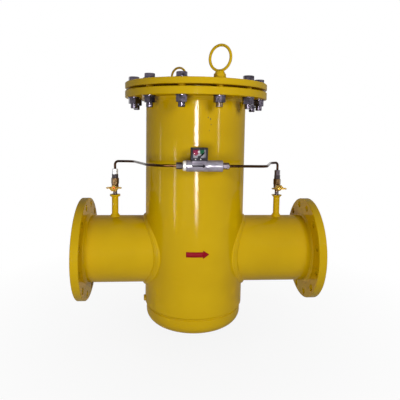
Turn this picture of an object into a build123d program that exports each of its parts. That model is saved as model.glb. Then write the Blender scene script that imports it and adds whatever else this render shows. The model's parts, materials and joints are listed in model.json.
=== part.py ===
from build123d import *
import os
from math import asin, cos, hypot, radians, sin, sqrt

# A cartridge filter for a gas pipeline, in millimetres. The origin is the centre of the
# inlet flange's bolting face, from which its raised gasket face stands out a little.
# +X is the way the gas flows, and +Z is up along the vessel.

# Vessel: a pipe shell, with a dished head butt-welded under it
shell_od = 325.0
shell_wall = 8.0
shell_base_z = -177.0
shell_base_bevel = 4.0
shell_bevel_height = 3.0
shell_top_setback = 4.0
head_step = 4.5
head_wall = 8.0
head_gap = 6.0
head_skirt = 19.0
head_weld_depth = 2.0
head_edge_round = 1.5

# Nozzles and their flanges
nozzle_od = 219.0
nozzle_wall = 6.0
inlet_reach = 375.0
outlet_reach = 400.0
pipe_setback = 3.0
nozzle_face_width = 24.5
nozzle_face_to_bolts = 13.5
nozzle_bolts_to_rim = 20.0
nozzle_flange_thick = 25.0
nozzle_hole_count = 12
nozzle_hole_d = 22.0
raised_face = 3.0
slip_gap = 0.5
nozzle_weld_leg = 7.0
saddle_weld_leg = 9.0
saddle_weld_bevel = 7.5

# Cover joint on top of the vessel
cover_gasket_width = 22.0
cover_face_to_bolts = 20.0
cover_bolts_to_rim = 25.0
cover_thick = 18.0
body_flange_z = 498.0
body_flange_thick = 22.0
cover_face = 2.0
cover_gasket_thick = 3.0
cover_bolt_count = 12
cover_hole_d = 22.0
flange_weld_leg = 11.0
rim_chamfer = 1.5

# Cover bolts, nuts and washers
bolt_d = 20.0
bolt_af = 30.0
bolt_head_height = 12.5
bolt_tail = 35.0
nut_height = 18.0
washer_od = 37.0
washer_thick = 3.0
thread_gap = 0.05
hex_turn_step = 17.0

# Lifting eyes, one in front and one behind, in two of the bolts' places
eye_base_height = 10.0
eye_crown_height = 6.0
eye_crown_step = 3.0
eye_rod_d = 8.0
front_eye_od = 78.0
front_eye_turn = 41.0
rear_eye_od = 71.0
rear_eye_turn = 35.0
eye_sink = 2.0

# Impulse stubs on the nozzles
inlet_stub_gap = 101.5
outlet_stub_gap = 118.5
stub_od = 21.3
stub_wall = 2.65
stub_height = 65.5
collar_od = 34.0
collar_thick = 7.0
inlet_collar_bevel = 2.5
outlet_collar_bevel = 5.5
stub_foot_od = 34.0
stub_foot_height = 9.5
impulse_port_d = 10.0

# Ball cocks, measured from the ball's centre
cock_lift = 25.5
cock_bore = 8.0
cock_thread_od = 13.2
cock_thread_drop = 30.0
cock_body_d = 23.0
cock_hex_af = 22.0
cock_hex_base = 10.5
cock_top = 29.5
ball_d = 14.0
ball_gap = 0.05
chamber_d = 14.4
seat_reach = 8.0
stem_d = 6.0
gland_reach = 17.0
gland_af = 14.0
gland_thick = 4.0
running_gap = 0.05
handle_span = 49.0
handle_hub_d = 16.0
handle_depth = 8.0
handle_sweep = 4.0
handle_web_half = 15.0
handle_web_drop = 11.0
wing_root = 8.0
wing_tip = 4.2
screw_head_d = 8.0
screw_head_height = 2.5
screw_d = 3.0

# Fittings between a cock and its tube
adapter_af = 18.0
adapter_hex = 13.0
adapter_neck_d = 13.0
adapter_neck = 4.0
union_af = 17.0
union_length = 17.0
tube_od = 8.0
tube_bore = 6.0
tube_seat = 9.0

# Impulse tubes: clearances from the shell, and the radii of their bends
tube_high_z = 292.3
inlet_side_gap = 41.5
inlet_corner_gap = 58.3
inlet_corner_angle = 47.2
inlet_front_gap = -52.5
inlet_bends = [11.0, 35.0, 40.0, 30.0]
outlet_lead_x = 31.0
outlet_lead_y = 22.0
outlet_front_gap = 33.5
outlet_bends = [10.5, 30.0, 30.0]

# Differential pressure indicator in front of the vessel
indicator_x = 9.5
indicator_gap = 32.5
indicator_z = 297.5
indicator_od = 33.2
indicator_length = 104.5
end_cap_od = 30.0
end_cap_length = 9.5
fitting_af = 17.0
fitting_length = 17.5
fitting_neck_d = 13.2
fitting_neck = 1.5
fitting_spigot = 7.0
cylinder_bore = 20.0
cylinder_end = 12.0
cap_spigot = 6.0
piston_length = 22.0
piston_stand = 3.5
saddle_top = 15.0
saddle_length = 42.0
saddle_cheek = 0.8
saddle_drop = 7.0
saddle_floor = 2.5
dial_shift = -11.0
dial_width = 48.5
dial_height = 37.5
dial_depth = 20.0
dial_front = 11.0
dial_wall = 3.0
dial_cavity = 9.5
window_width = 36.5
window_height = 23.5
window_base = 8.3
bezel_thick = 2.5
glass_thick = 1.5
dial_face_thick = 1.5
pointer_height = 9.5
pointer_length = 20.0
pointer_hub_d = 9.0
pointer_thick = 1.5
pointer_gap = 1.0
pointer_pin_d = 2.0
pointer_rest = 45.0
pointer_magnet_d = 10.0
pointer_magnet_thick = 3.0
pointer_bearing = 3.0
piston_magnet_d = 10.0
piston_magnet_length = 12.0

# Drain port on the inlet side, just above the head's seam
drain_rise = 11.0
drain_turn = 6.0
drain_boss_od = 20.0
drain_boss_height = 5.5
drain_thread_d = 13.2
drain_socket_af = 7.0

# Filter cartridge, standing on the outlet's riser inside the vessel
riser_rise = 30.5
seat_ring_lip = 5.0
seat_ring_thick = 8.0
seal_thick = 3.0
seal_width = 12.0
cartridge_overhang = 15.5
cartridge_height = 298.0
cartridge_cap_thick = 4.0
cartridge_rim = 3.0
pleat_count = 48
pleat_depth = 24.0
media_thick = 2.5
core_wall = 2.0
core_gap = 2.0
core_slot_rows = 3
core_slot_columns = 8
core_slot_width = 16.0
core_slot_length = 60.0
tie_rod_d = 16.0
tie_rod_af = 24.0
tie_rod_spare = 15.0
tie_nut_height = 13.0
cross_bar_width = 30.0
cross_bar_thick = 10.0
cross_bar_drop = 20.0

# Places that follow from the sizes above
shell_r = shell_od / 2
shell_bore_r = shell_r - shell_wall
head_r = shell_r - head_step
head_top_z = shell_base_z - head_gap
head_crown_r = 2 * head_r
head_knuckle_r = head_crown_r / 10
nozzle_r = nozzle_od / 2
nozzle_bore_r = nozzle_r - nozzle_wall
axis_x = inlet_reach
outlet_x = inlet_reach + outlet_reach
nozzle_face_r = nozzle_r + nozzle_face_width
nozzle_bolt_r = nozzle_face_r + nozzle_face_to_bolts
nozzle_rim_r = nozzle_bolt_r + nozzle_bolts_to_rim
inlet_stub_x = axis_x - shell_r - inlet_stub_gap
outlet_stub_x = axis_x + shell_r + outlet_stub_gap
stub_top_z = nozzle_r + stub_height
cock_z = stub_top_z + collar_thick + cock_lift
drain_z = shell_base_z + drain_rise
riser_top_z = nozzle_r + riser_rise
cartridge_r = nozzle_r + cartridge_overhang
indicator_y = -shell_r - indicator_gap
flange_top_z = body_flange_z + body_flange_thick
gasket_z = flange_top_z + cover_face
cover_z = gasket_z + cover_gasket_thick + cover_face
cover_top_z = cover_z + cover_thick
gasket_bore_r = shell_r + slip_gap
cover_face_r = gasket_bore_r + cover_gasket_width
cover_bolt_r = cover_face_r + cover_face_to_bolts
cover_rim_r = cover_bolt_r + cover_bolts_to_rim
bolt_r = bolt_d / 2
bolt_end_z = body_flange_z - bolt_tail
bolt_step = 360 / cover_bolt_count
bolt_start = bolt_step / 2
front_eye_angle = -90 + bolt_start
indicator_r = indicator_od / 2
tube_r = tube_od / 2
stub_r = stub_od / 2
vessel = Pos(axis_x, 0, 0)
indicator = Pos(axis_x + indicator_x, indicator_y, indicator_z)
to_x = Rot(0, 90, 0)
from_x = Rot(0, -90, 0)


def tube(outer_r, inner_r, low, high):
    """Straight ring or pipe along Z."""
    return Pos(0, 0, low) * extrude(Circle(outer_r) - Circle(inner_r), amount=high - low)


def rod(radius, low, high):
    """Straight round bar along Z."""
    return Pos(0, 0, low) * extrude(Circle(radius), amount=high - low)


def turned(*points):
    """Solid of revolution about Z from (radius, height) points."""
    return revolve(make_face(Plane.XZ * Polyline(*points, close=True)), Axis.Z)


def block(low, high):
    """Box between two corners."""
    size = [b - a for a, b in zip(low, high)]
    middle = [(a + b) / 2 for a, b in zip(low, high)]
    return Pos(*middle) * Box(*size)


def hexagon(across_flats, low, high, lower_bevel=False):
    """Hexagon bar along Z, with its corners bevelled at the top and, if asked, below."""
    flat_r = across_flats / 2
    corner_r = flat_r / cos(radians(30))
    bevel = (corner_r - flat_r) * 0.6
    bar = Pos(0, 0, low) * extrude(RegularPolygon(corner_r, 6), amount=high - low)
    foot = [(flat_r, low), (corner_r, low + bevel)] if lower_bevel else [(corner_r, low)]
    return bar & turned((0, low), *foot, (corner_r, high - bevel), (flat_r, high), (0, high))


def x_tube(outer_r, inner_r, low, high):
    """Straight pipe along X on the nozzles' axis."""
    return to_x * tube(outer_r, inner_r, low, high)


def bolt_places():
    """Every bolt's place on the cover, from the front one right of the middle, anticlockwise."""
    circle = PolarLocations(cover_bolt_r, cover_bolt_count, start_angle=front_eye_angle)
    return [vessel * place for place in circle]


def eye_indices():
    """Places of the front eye and of the rear eye opposite it."""
    return 0, cover_bolt_count // 2


# Vessel

def bottom_head():
    """Dished head: a skirt, a knuckle arc and a crown arc, revolved."""
    skirt_z = head_top_z - head_skirt
    knuckle_x = head_r - head_knuckle_r
    crown_z = skirt_z + sqrt((head_crown_r - head_knuckle_r) ** 2 - knuckle_x ** 2)
    lean = asin(knuckle_x / (head_crown_r - head_knuckle_r))

    def outline(inset, edge):
        crown_r = head_crown_r - inset
        knuckle_r = head_knuckle_r - inset
        half = (radians(90) + lean) / 2
        top = (head_r - inset, head_top_z - edge)
        side = (head_r - inset, skirt_z)
        knee = (knuckle_x + knuckle_r * sin(half), skirt_z - knuckle_r * cos(half))
        join = (crown_r * sin(lean), crown_z - crown_r * cos(lean))
        belly = (crown_r * sin(lean / 2), crown_z - crown_r * cos(lean / 2))
        return top, side, knee, join, belly, (0, crown_z - crown_r)

    top, side, knee, join, belly, bottom = outline(0, head_edge_round)
    line = Line(top, side) + ThreePointArc(side, knee, join) + ThreePointArc(join, belly, bottom)
    rim = (head_r - head_edge_round, head_top_z)
    in_top, in_side, in_knee, in_join, in_belly, in_bottom = outline(head_wall, 0)
    line += Line(bottom, in_bottom) + ThreePointArc(in_bottom, in_belly, in_join)
    line += ThreePointArc(in_join, in_knee, in_side) + Line(in_side, in_top)
    line += Line(in_top, rim) + Line(rim, top)
    return vessel * revolve(make_face(Plane.XZ * line), Axis.Z)


def body_shell():
    """Vessel pipe, bevelled at its lower end, with nozzle openings and the drain's hole."""
    top_z = flange_top_z - shell_top_setback
    shell = vessel * turned(
        (shell_bore_r, shell_base_z), (shell_r - shell_base_bevel, shell_base_z),
        (shell_r, shell_base_z + shell_bevel_height), (shell_r, top_z), (shell_bore_r, top_z),
    )
    shell -= to_x * rod(nozzle_bore_r, axis_x - shell_od, axis_x + shell_od)
    return shell - drain_axis() * rod(drain_thread_d / 2, -2 * shell_wall, drain_boss_height)


def head_weld():
    """Sunk weld between the shell's lower end and the head."""
    inner_r = head_r - head_wall + slip_gap
    return vessel * tube(head_r - head_weld_depth, inner_r, head_top_z, shell_base_z)


def drain_axis():
    """Frame on the shell's inlet side, turned a little forward, with +Z pointing outwards."""
    return vessel * Rot(0, 0, drain_turn) * Pos(-shell_r, 0, drain_z) * from_x


def drain_boss():
    """Low threaded boss, shaped to the shell."""
    boss = rod(drain_boss_od / 2, -shell_wall / 2, drain_boss_height)
    boss = chamfer(boss.edges().group_by(Axis.Z)[-1], rim_chamfer)
    boss -= rod(drain_thread_d / 2 + thread_gap, -shell_wall, drain_boss_height)
    return drain_axis() * boss - vessel * rod(shell_r, -shell_od, 0)


def drain_plug():
    """Plug with a hexagon socket, screwed in through the boss."""
    plug = rod(drain_thread_d / 2 - thread_gap, -shell_wall, drain_boss_height)
    socket = RegularPolygon(drain_socket_af / 2, 6, major_radius=False)
    return drain_axis() * (plug - extrude(socket, amount=drain_boss_height))


# Nozzles

def nozzle_flange():
    """Slip-on flange with its back weld. Its bolting face is at height 0, and it runs up Z."""
    back = nozzle_flange_thick
    bore_r = nozzle_r + slip_gap
    rim_r = nozzle_rim_r
    ring = turned(
        (bore_r, -raised_face), (nozzle_face_r, -raised_face), (nozzle_face_r, 0),
        (rim_r - rim_chamfer, 0), (rim_r, rim_chamfer),
        (rim_r, back - rim_chamfer), (rim_r - rim_chamfer, back),
        (nozzle_r + nozzle_weld_leg, back), (nozzle_r, back + nozzle_weld_leg),
        (nozzle_r, back - slip_gap), (bore_r, back - slip_gap),
    )
    step = 360 / nozzle_hole_count
    hole = rod(nozzle_hole_d / 2, 0, back)
    holes = PolarLocations(nozzle_bolt_r, nozzle_hole_count, start_angle=step / 2)
    return ring - [place * hole for place in holes]


def inlet_flange():
    return to_x * nozzle_flange()


def outlet_flange():
    return Pos(outlet_x, 0, 0) * from_x * nozzle_flange()


def nozzle_pipe(low_x, high_x, stub_x):
    """Pipe whose inner end follows the shell, with the impulse port in its top."""
    pipe = x_tube(nozzle_r, nozzle_bore_r, low_x, high_x) - vessel * rod(shell_r, -shell_od, shell_od)
    return pipe - Pos(stub_x, 0, 0) * rod(impulse_port_d / 2, 0, nozzle_od)


def inlet_pipe():
    return nozzle_pipe(pipe_setback, axis_x, inlet_stub_x)


def outlet_pipe():
    return nozzle_pipe(axis_x, outlet_x - pipe_setback, outlet_stub_x)


def saddle_welds():
    """Beads round the seams of nozzle and shell, bevelled on their outer edges."""
    bead_nozzle_r = nozzle_r + saddle_weld_leg
    bead_shell_r = shell_r + saddle_weld_leg
    bead = x_tube(bead_nozzle_r, nozzle_r, 0, axis_x)
    bead &= vessel * tube(bead_shell_r, shell_r, -shell_od, shell_od)

    def outermost(edge):
        spot = edge @ 0.37
        across = abs(hypot(spot.Y, spot.Z) - bead_nozzle_r)
        return across + abs(hypot(spot.X - axis_x, spot.Y) - bead_shell_r) < 0.01

    bead = chamfer(bead.edges().filter_by(outermost), saddle_weld_bevel)
    return [bead, mirror(bead, about=Plane.YZ.offset(axis_x))]


# Cover joint

def bolt_holes(low, high):
    hole = rod(cover_hole_d / 2, low, high)
    return [place * hole for place in bolt_places()]


def body_flange():
    """Flange on top of the shell, with a raised face above and a weld bead below."""
    rim_r = cover_rim_r
    ring = vessel * turned(
        (gasket_bore_r, gasket_z), (gasket_bore_r, body_flange_z + slip_gap),
        (shell_r, body_flange_z + slip_gap), (shell_r, body_flange_z - flange_weld_leg),
        (shell_r + flange_weld_leg * 0.8, body_flange_z), (rim_r - rim_chamfer, body_flange_z),
        (rim_r, body_flange_z + rim_chamfer), (rim_r, flange_top_z - rim_chamfer),
        (rim_r - rim_chamfer, flange_top_z), (cover_face_r, flange_top_z),
        (cover_face_r, gasket_z),
    )
    return ring - bolt_holes(body_flange_z, flange_top_z)


def cover_gasket():
    return vessel * tube(cover_face_r, gasket_bore_r, gasket_z, gasket_z + cover_gasket_thick)


def cover():
    """Blind flange with a raised face under it."""
    rim_r = cover_rim_r
    face_z = cover_z - cover_face
    disc = vessel * turned(
        (0, face_z), (cover_face_r, face_z), (cover_face_r, cover_z),
        (rim_r - rim_chamfer, cover_z), (rim_r, cover_z + rim_chamfer),
        (rim_r, cover_top_z - rim_chamfer), (rim_r - rim_chamfer, cover_top_z), (0, cover_top_z),
    )
    return disc - bolt_holes(cover_z, cover_top_z)


def shank(high):
    """Bolt's shank from its bevelled end up to a height."""
    bevel = bolt_r * 0.15
    return turned(
        (0, bolt_end_z), (bolt_r - bevel, bolt_end_z), (bolt_r, bolt_end_z + bevel),
        (bolt_r, high), (0, high),
    )


def cover_bolts():
    """Hexagon bolts in all places but the eyes', each with its washer under the head."""
    seat_z = cover_top_z + washer_thick
    bolts = []
    for index, place in enumerate(bolt_places()):
        if index in eye_indices():
            continue
        head = Rot(0, 0, hex_turn_step * index) * hexagon(bolt_af, seat_z, seat_z + bolt_head_height)
        bolts.append(place * (shank(seat_z) + rod(washer_od / 2, cover_top_z, seat_z) + head))
    return bolts


def lifting_eye(index, ring_od, ring_turn):
    """Eye bolt: a shank, a washer, a hexagon base with a sloping crown, and a welded ring."""
    seat_z = cover_top_z + washer_thick
    base_top = seat_z + eye_base_height
    crown_top = base_top + eye_crown_height
    base_r = bolt_af / 2
    ring_r = (ring_od - eye_rod_d) / 2
    ring_z = crown_top - eye_sink + ring_od / 2
    body = shank(seat_z) + rod(washer_od / 2, cover_top_z, seat_z) + hexagon(bolt_af, seat_z, base_top)
    crown = ((0, base_top), (base_r, base_top), (base_r - eye_crown_step, crown_top), (0, crown_top))
    body += turned(*crown)
    upright = Rot(0, 0, -ring_turn) * Rot(90, 0, 0)
    body += Pos(0, 0, ring_z) * upright * Torus(ring_r, eye_rod_d / 2)
    return Pos(*bolt_places()[index].position) * body


def front_lifting_eye():
    return lifting_eye(eye_indices()[0], front_eye_od, front_eye_turn)


def rear_lifting_eye():
    return lifting_eye(eye_indices()[1], rear_eye_od, rear_eye_turn)


def cover_washers():
    """Washers under the flange, one for each nut."""
    washer = tube(washer_od / 2, bolt_r + 4 * thread_gap, body_flange_z - washer_thick, body_flange_z)
    return [place * washer for place in bolt_places()]


def cover_nuts():
    top_z = body_flange_z - washer_thick
    nut = hexagon(bolt_af, top_z - nut_height, top_z, lower_bevel=True)
    nut -= rod(bolt_r + thread_gap, top_z - nut_height, top_z)
    return [place * Rot(0, 0, hex_turn_step * i) * nut for i, place in enumerate(bolt_places())]


# Impulse stubs and ball cocks

def impulse_stub(stub_x, bevel):
    """Pipe stub with a threaded collar on top and its weld at the foot."""
    top_z = stub_top_z + collar_thick
    foot_z = nozzle_r + stub_foot_height
    stub = turned(
        (0, 0), (stub_foot_od / 2, 0), (stub_foot_od / 2, nozzle_r), (stub_r, foot_z),
        (stub_r, stub_top_z), (collar_od / 2 - bevel, stub_top_z), (collar_od / 2, stub_top_z + bevel),
        (collar_od / 2, top_z), (0, top_z),
    )
    stub -= rod(stub_r - stub_wall, 0, stub_top_z)
    stub -= rod(cock_thread_od / 2 + thread_gap, 0, top_z)
    return Pos(stub_x, 0, 0) * stub - to_x * rod(nozzle_r, 0, outlet_x)


def inlet_stub():
    return impulse_stub(inlet_stub_x, inlet_collar_bevel)


def outlet_stub():
    return impulse_stub(outlet_stub_x, outlet_collar_bevel)


def cock_places():
    return [Pos(inlet_stub_x, 0, cock_z), Pos(outlet_stub_x, 0, cock_z)]


def to_front(part):
    """Turns a part that runs up Z so that it runs out along -Y."""
    return Rot(90, 0, 0) * part


def cock_body(place):
    """Brass body: thread, round belly, gland boss and hexagon end, with the ball's chamber."""
    thread_r = cock_thread_od / 2
    belly_r = cock_body_d / 2
    body = turned(
        (0, -cock_thread_drop), (thread_r, -cock_thread_drop), (thread_r, -belly_r),
        (belly_r, 0), (belly_r, cock_hex_base),
        (0, cock_hex_base),
    )
    body += hexagon(cock_hex_af, cock_hex_base, cock_top)
    body += to_front(rod(gland_af / 2 + 1, 0, gland_reach))
    body -= rod(cock_bore / 2, -cock_thread_drop, 0)
    body -= rod(chamber_d / 2, -seat_reach, cock_top)
    body -= to_front(rod(stem_d / 2 + running_gap, 0, gland_reach))
    return place * body


def cock_seats():
    """Soft rings above and below each ball."""
    seat = tube(chamber_d / 2 - running_gap, cock_bore / 2, ball_d / 4, seat_reach)
    seat -= Sphere(ball_d / 2 + ball_gap)
    return [place * turn * seat for place in cock_places() for turn in (Rot(0, 0, 0), Rot(180, 0, 0))]


def cock_gland_nuts():
    nut = hexagon(gland_af, gland_reach, gland_reach + gland_thick)
    nut -= rod(stem_d / 2 + running_gap, gland_reach, gland_reach + gland_thick)
    return [place * to_front(nut) for place in cock_places()]


def cock_ball(place):
    """Bored ball with a flat for the stem. At rest its bore lies across the flow."""
    ball = Sphere(ball_d / 2) - to_x * rod(cock_bore / 2, -ball_d, ball_d)
    return place * (ball - to_front(rod(ball_d, ball_d * 0.4, ball_d)))


def cock_stem(place):
    end = gland_reach + gland_thick + handle_depth
    stem = rod(stem_d / 2, ball_d * 0.4, end)
    return place * to_front(stem - rod(screw_d / 2, end - handle_depth, end))


def cock_handle(place):
    """Winged handle, closed at rest: its wings lie across the pipe, with a web on one side."""
    back = gland_reach + gland_thick + 4 * running_gap
    front = back + handle_depth
    half = handle_span / 2
    hub_r = handle_hub_d / 2
    wings = Polyline(
        (0, wing_root / 2), (half, wing_tip / 2), (half, -wing_tip / 2),
        (handle_web_half, -wing_tip / 2), (hub_r, -handle_web_drop), (-hub_r, -handle_web_drop),
        (-handle_web_half, -wing_tip / 2), (-half, -wing_tip / 2), (-half, wing_tip / 2), close=True,
    )
    blank = extrude(make_face(wings), amount=front + handle_sweep)
    tips = blank.edges().filter_by(Axis.Z).filter_by(lambda edge: abs(edge.center().X) > half - 1)
    blank = fillet(tips, wing_tip * 0.45)
    plan = Polyline(
        (-hub_r, back), (hub_r, back), (half, back + handle_sweep), (half, front + handle_sweep),
        (hub_r, front), (-hub_r, front), (-half, front + handle_sweep), (-half, back + handle_sweep),
        close=True,
    )
    depth = handle_hub_d + handle_web_drop
    blank &= Pos(0, depth, 0) * Rot(90, 0, 0) * extrude(make_face(plan), amount=2 * depth)
    handle = blank + rod(hub_r, back, front)
    handle -= rod(stem_d / 2, back, gland_reach + gland_thick + handle_depth)
    return place * to_front(handle - rod(screw_d / 2, back, front))


def handle_screw(place):
    seat = gland_reach + gland_thick + running_gap * 4 + handle_depth
    head = rod(screw_head_d / 2, seat, seat + screw_head_height)
    return place * to_front(head + rod(screw_d / 2, seat - handle_depth * 0.8, seat))


def tube_adapters():
    """Nipples from the cocks to their tubes, each holding the upper seat in place."""
    hex_top = cock_top + adapter_hex
    neck_top = hex_top + adapter_neck
    nipple = rod(chamber_d / 2 - running_gap, seat_reach, cock_top) + hexagon(adapter_af, cock_top, hex_top)
    nipple += rod(adapter_neck_d / 2, hex_top, neck_top)
    nipple -= rod(cock_bore / 2 - 1, seat_reach, neck_top)
    nipple -= rod(tube_r + thread_gap, neck_top - tube_seat, neck_top)
    return [place * nipple for place in cock_places()]


def union_nut(place):
    base = cock_top + adapter_hex
    nut = hexagon(union_af, base, base + union_length)
    nut -= rod(adapter_neck_d / 2 + thread_gap, base, base + adapter_neck)
    nut -= rod(tube_r + thread_gap, base, base + union_length)
    return place * nut


# Impulse tubes

tube_low_z = cock_z + cock_top + adapter_hex + adapter_neck - tube_seat
fitting_face = indicator_length / 2 + end_cap_length / 2 + fitting_neck
tube_end = fitting_face + fitting_length - tube_seat


def bent_tube(route, radii):
    """Round tube through a route's corners, each rounded to its bending radius."""
    path = FilletPolyline(*route, radius=radii)
    start = Plane(origin=path @ 0, z_dir=path % 0)
    section = start * (Circle(tube_r) - Circle(tube_bore / 2))
    return sweep(section, path=path)


def inlet_impulse_tube():
    """From the inlet's cock up and forward round the vessel to the indicator's left end."""
    corner_r = shell_r + inlet_corner_gap
    corner_x = axis_x - corner_r * cos(radians(inlet_corner_angle))
    corner_y = -corner_r * sin(radians(inlet_corner_angle))
    route = [
        (inlet_stub_x, 0, tube_low_z), (inlet_stub_x, 0, tube_high_z),
        (axis_x - shell_r - inlet_side_gap, 0, tube_high_z),
        (corner_x, corner_y, (tube_high_z + 4 * indicator_z) / 5),
        (axis_x - shell_r - inlet_front_gap, indicator_y, indicator_z),
        (axis_x + indicator_x - tube_end, indicator_y, indicator_z),
    ]
    return bent_tube(route, inlet_bends)


def outlet_impulse_tube():
    """From the outlet's cock back and forward round the vessel to the indicator's right end."""
    route = [
        (outlet_stub_x, 0, tube_low_z), (outlet_stub_x, 0, tube_high_z),
        (outlet_stub_x - outlet_lead_x, -outlet_lead_y, tube_high_z),
        (axis_x + shell_r + outlet_front_gap, indicator_y, indicator_z),
        (axis_x + indicator_x + tube_end, indicator_y, indicator_z),
    ]
    return bent_tube(route, outlet_bends)


# Differential pressure indicator

body_left = -indicator_length / 2 + end_cap_length / 2
body_right = indicator_length / 2 + end_cap_length / 2
cap_left = body_left - end_cap_length
bore_end = body_right - cylinder_end
piston_left = body_left + cap_spigot + piston_stand
pin_reach = pointer_magnet_thick + 2 * pointer_gap + pointer_bearing


def indicator_body():
    """Round body along X, bored for the piston, with a flat on top for the dial's saddle."""
    body = rod(indicator_r, body_left, body_right)
    body = chamfer(body.edges(), 1.0)
    body -= rod(cylinder_bore / 2, body_left, bore_end)
    body -= rod(fitting_neck_d / 2 + thread_gap, body_right - fitting_spigot, body_right)
    body -= rod(cock_bore / 2 - 1, bore_end, body_right)
    body = to_x * body
    for length, base in ((dial_width, saddle_top), (saddle_length, saddle_top - saddle_floor)):
        low = (dial_shift - length / 2, -indicator_od, base)
        body -= block(low, (dial_shift + length / 2, indicator_od, indicator_od))
    return indicator * body


def indicator_end_cap():
    """Bright cap that closes the left end of the bore."""
    cap_r = end_cap_od / 2
    cap = turned(
        (0, cap_left), (cap_r - 2.5, cap_left), (cap_r, cap_left + 2.5), (cap_r, body_left - 1.5),
        (cap_r - 1.5, body_left), (cylinder_bore / 2 - running_gap, body_left),
        (cylinder_bore / 2 - running_gap, body_left + cap_spigot), (0, body_left + cap_spigot),
    )
    cap -= rod(fitting_neck_d / 2 + thread_gap, cap_left, cap_left + fitting_spigot)
    return indicator * to_x * (cap - rod(cock_bore / 2 - 1, cap_left, body_left + cap_spigot))


def indicator_fitting():
    """Tube fitting for the indicator's ends, with its shoulder at height 0 and running up Z."""
    hex_base = fitting_neck
    fitting = rod(fitting_neck_d / 2, -fitting_spigot, hex_base)
    fitting += hexagon(fitting_af, hex_base, hex_base + fitting_length)
    fitting -= rod(cock_bore / 2 - 1, -fitting_spigot, hex_base + fitting_length)
    fitting -= rod(tube_r + thread_gap, hex_base + fitting_length - tube_seat, hex_base + fitting_length)
    return fitting


def inlet_indicator_fitting():
    return indicator * Pos(cap_left, 0, 0) * from_x * indicator_fitting()


def outlet_indicator_fitting():
    return indicator * Pos(body_right, 0, 0) * to_x * indicator_fitting()


def indicator_piston():
    """Piston with a groove and a magnet's pocket, at rest near the left end of its bore."""
    low, high = piston_left, piston_left + piston_length
    piston = rod(cylinder_bore / 2 - running_gap, low, high)
    piston -= tube(cylinder_bore / 2, cylinder_bore / 2 - 1.5, low + 3, low + 6)
    return indicator * to_x * (piston - rod(piston_magnet_d / 2, high - piston_magnet_length, high))


def piston_magnet():
    high = piston_left + piston_length
    return indicator * to_x * rod(piston_magnet_d / 2, high - piston_magnet_length, high)


def indicator_saddle():
    """Block between the round body and the dial's case."""
    cheek = indicator_r + saddle_cheek
    low_x, high_x = dial_shift - saddle_length / 2, dial_shift + saddle_length / 2
    saddle = block((low_x, -cheek, saddle_top - saddle_drop), (high_x, cheek, saddle_top))
    body = to_x * rod(indicator_r, low_x, high_x)
    body &= block((low_x, -cheek, -indicator_r), (high_x, cheek, saddle_top - saddle_floor))
    return indicator * (saddle - body)


def dial_frame():
    """Lower middle of the dial's front, on the flat, with +Z up and +Y into the case."""
    return indicator * Pos(dial_shift, -dial_front, saddle_top)


def pointer_axis():
    """Frame on the pointer's axis, at the scale plate's back, with +Z pointing forwards."""
    return dial_frame() * Pos(0, dial_cavity, pointer_height) * Rot(90, 0, 0)


def dial_case():
    """Box with an open front, and a recess for the pointer's magnet and its pin behind."""
    half = dial_width / 2
    case = block((-half, bezel_thick, 0), (half, dial_depth, dial_height))
    case = fillet(case.edges().filter_by(Axis.Y), 2)
    low = (-half + dial_wall, bezel_thick, dial_wall)
    case -= block(low, (half - dial_wall, dial_cavity, dial_height - dial_wall))
    recess = rod(pointer_magnet_d / 2 + pointer_gap, -pointer_magnet_thick - 2 * pointer_gap, 0)
    recess += rod(pointer_pin_d / 2 + running_gap, -pin_reach - running_gap, 0)
    return dial_frame() * case - pointer_axis() * recess


def dial_bezel():
    """Front plate with the window."""
    half = dial_width / 2
    plate = block((-half, 0, 0), (half, bezel_thick, dial_height))
    plate = fillet(plate.edges().filter_by(Axis.Y), 2)
    half_window = window_width / 2
    low = (-half_window, 0, window_base)
    return dial_frame() * (plate - block(low, (half_window, bezel_thick, window_base + window_height)))


def dial_glass():
    half = dial_width / 2 - dial_wall
    low = (-half, bezel_thick, dial_wall)
    return dial_frame() * block(low, (half, bezel_thick + glass_thick, dial_height - dial_wall))


def dial_face():
    """Scale plate in the case's back, with a hole for the pointer's pin."""
    half = dial_width / 2 - dial_wall
    low = (-half, dial_cavity - dial_face_thick, dial_wall)
    plate = dial_frame() * block(low, (half, dial_cavity, dial_height - dial_wall))
    return plate - pointer_axis() * rod(pointer_pin_d / 2 + running_gap, 0, dial_face_thick)


def pointer():
    """Tapered needle on a round hub, with a pin behind, at rest in the green."""
    base = dial_face_thick + pointer_gap
    hub = rod(pointer_hub_d / 2, base, base + pointer_thick) + rod(pointer_pin_d / 2, -pin_reach, base)
    needle = make_face(Polyline(
        (0, 1.8), (pointer_length, 0.9), (pointer_length, -0.9), (0, -1.8), close=True,
    ))
    hand = Rot(0, 0, pointer_rest) * extrude(needle, amount=pointer_thick / 2)
    return pointer_axis() * (hub + Pos(0, 0, base) * hand)


def pointer_magnet():
    """Disc on the pointer's pin, which follows the piston's magnet."""
    low = -pointer_magnet_thick - pointer_gap
    disc = rod(pointer_magnet_d / 2, low, -pointer_gap) - rod(pointer_pin_d / 2, low, -pointer_gap)
    return pointer_axis() * disc


# Inside the vessel

seat_top_z = riser_top_z + seat_ring_thick
cartridge_z = seat_top_z + seal_thick
cartridge_top_z = cartridge_z + cartridge_height
tie_low_z = riser_top_z - cross_bar_drop
media_low_z = cartridge_z + cartridge_cap_thick
media_high_z = cartridge_top_z - cartridge_cap_thick
media_r = cartridge_r - cartridge_rim
core_r = media_r - pleat_depth - media_thick - core_gap


def mitre_half(side):
    """Half of space on one side of the bend's 45 degree mitre: 1 above it, -1 below."""
    far = 2 * shell_od
    return Rot(0, -45, 0) * Pos(0, 0, side * far / 2) * Box(far, far, far)


def riser_level():
    """Level leg of the mitred bend, from the outlet's hole in the shell."""
    leg = (to_x * tube(nozzle_r, nozzle_bore_r, -shell_r, shell_r)) & mitre_half(-1)
    return vessel * (leg & rod(shell_bore_r, -shell_od, shell_od))


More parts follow.
